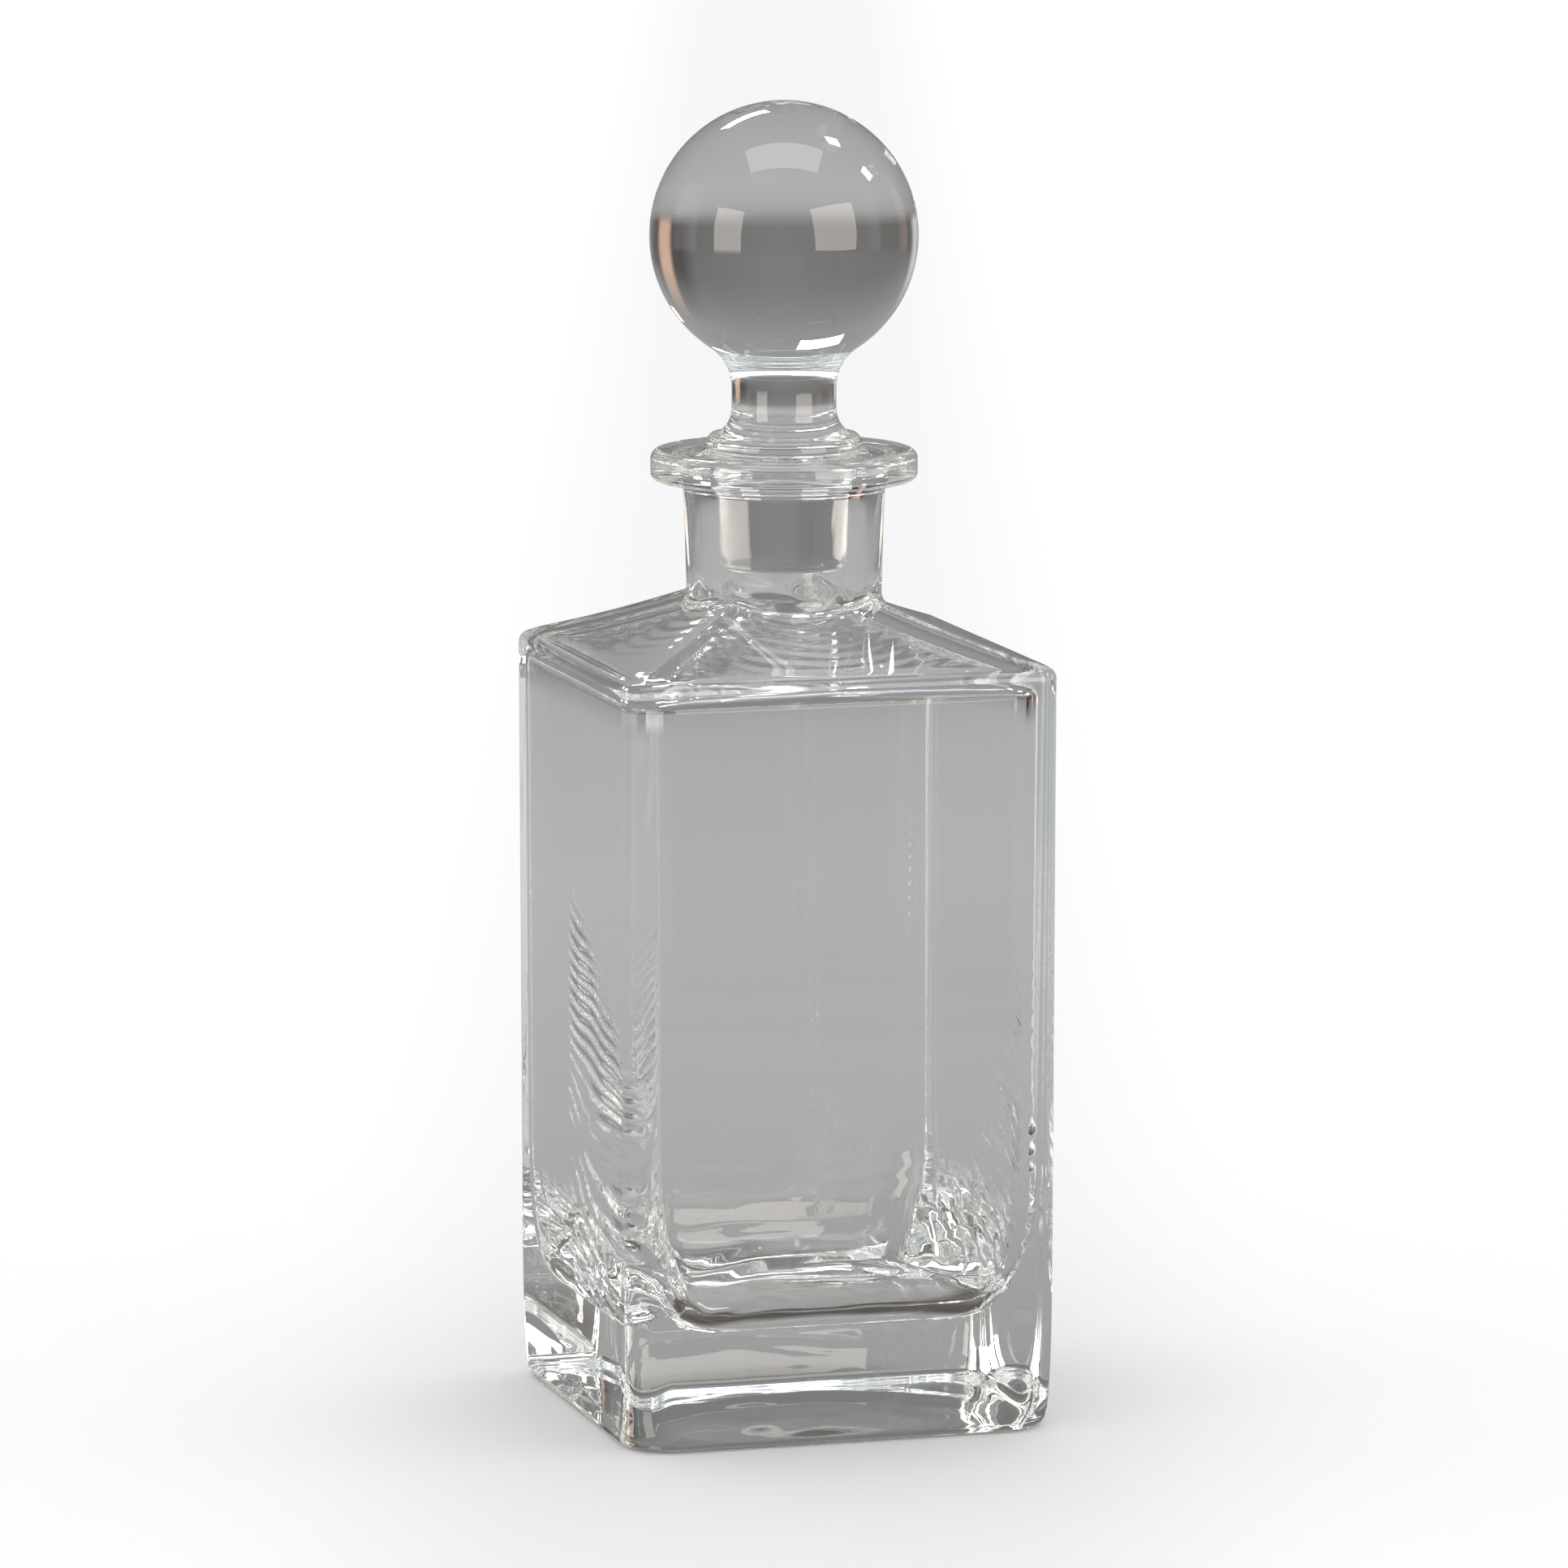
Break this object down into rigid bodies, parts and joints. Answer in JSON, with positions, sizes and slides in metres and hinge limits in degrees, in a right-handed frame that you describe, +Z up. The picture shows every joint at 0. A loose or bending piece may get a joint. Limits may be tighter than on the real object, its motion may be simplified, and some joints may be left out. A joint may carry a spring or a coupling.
{
  "type": "crystal decanter",
  "caption": "Square clear-crystal spirit decanter with a heavy base, sloping shoulder, round neck, flat collar lip and a lift-out ball stopper.",
  "frame": {"origin": "middle of the base, on the surface that the decanter stands on", "axes": "+Z up through the neck and the stopper; -Y out of the front wall, +X out of the right wall"},
  "size_m": [0.084, 0.084, 0.2495],
  "materials": {
    "bottle_crystal": "fire-polished clear crystal",
    "stopper_crystal": "fire-polished clear crystal"
  },
  "bodies": {
    "bottle": {"decanter_body": "bottle_crystal"},
    "stopper": {"stopper": "stopper_crystal"}
  },
  "joints": [
    {"name": "stopper_lift", "type": "slide", "parent": "bottle", "child": "stopper", "axis": [0, 0, 1], "range_m": [0, 0.05]}
  ]
}
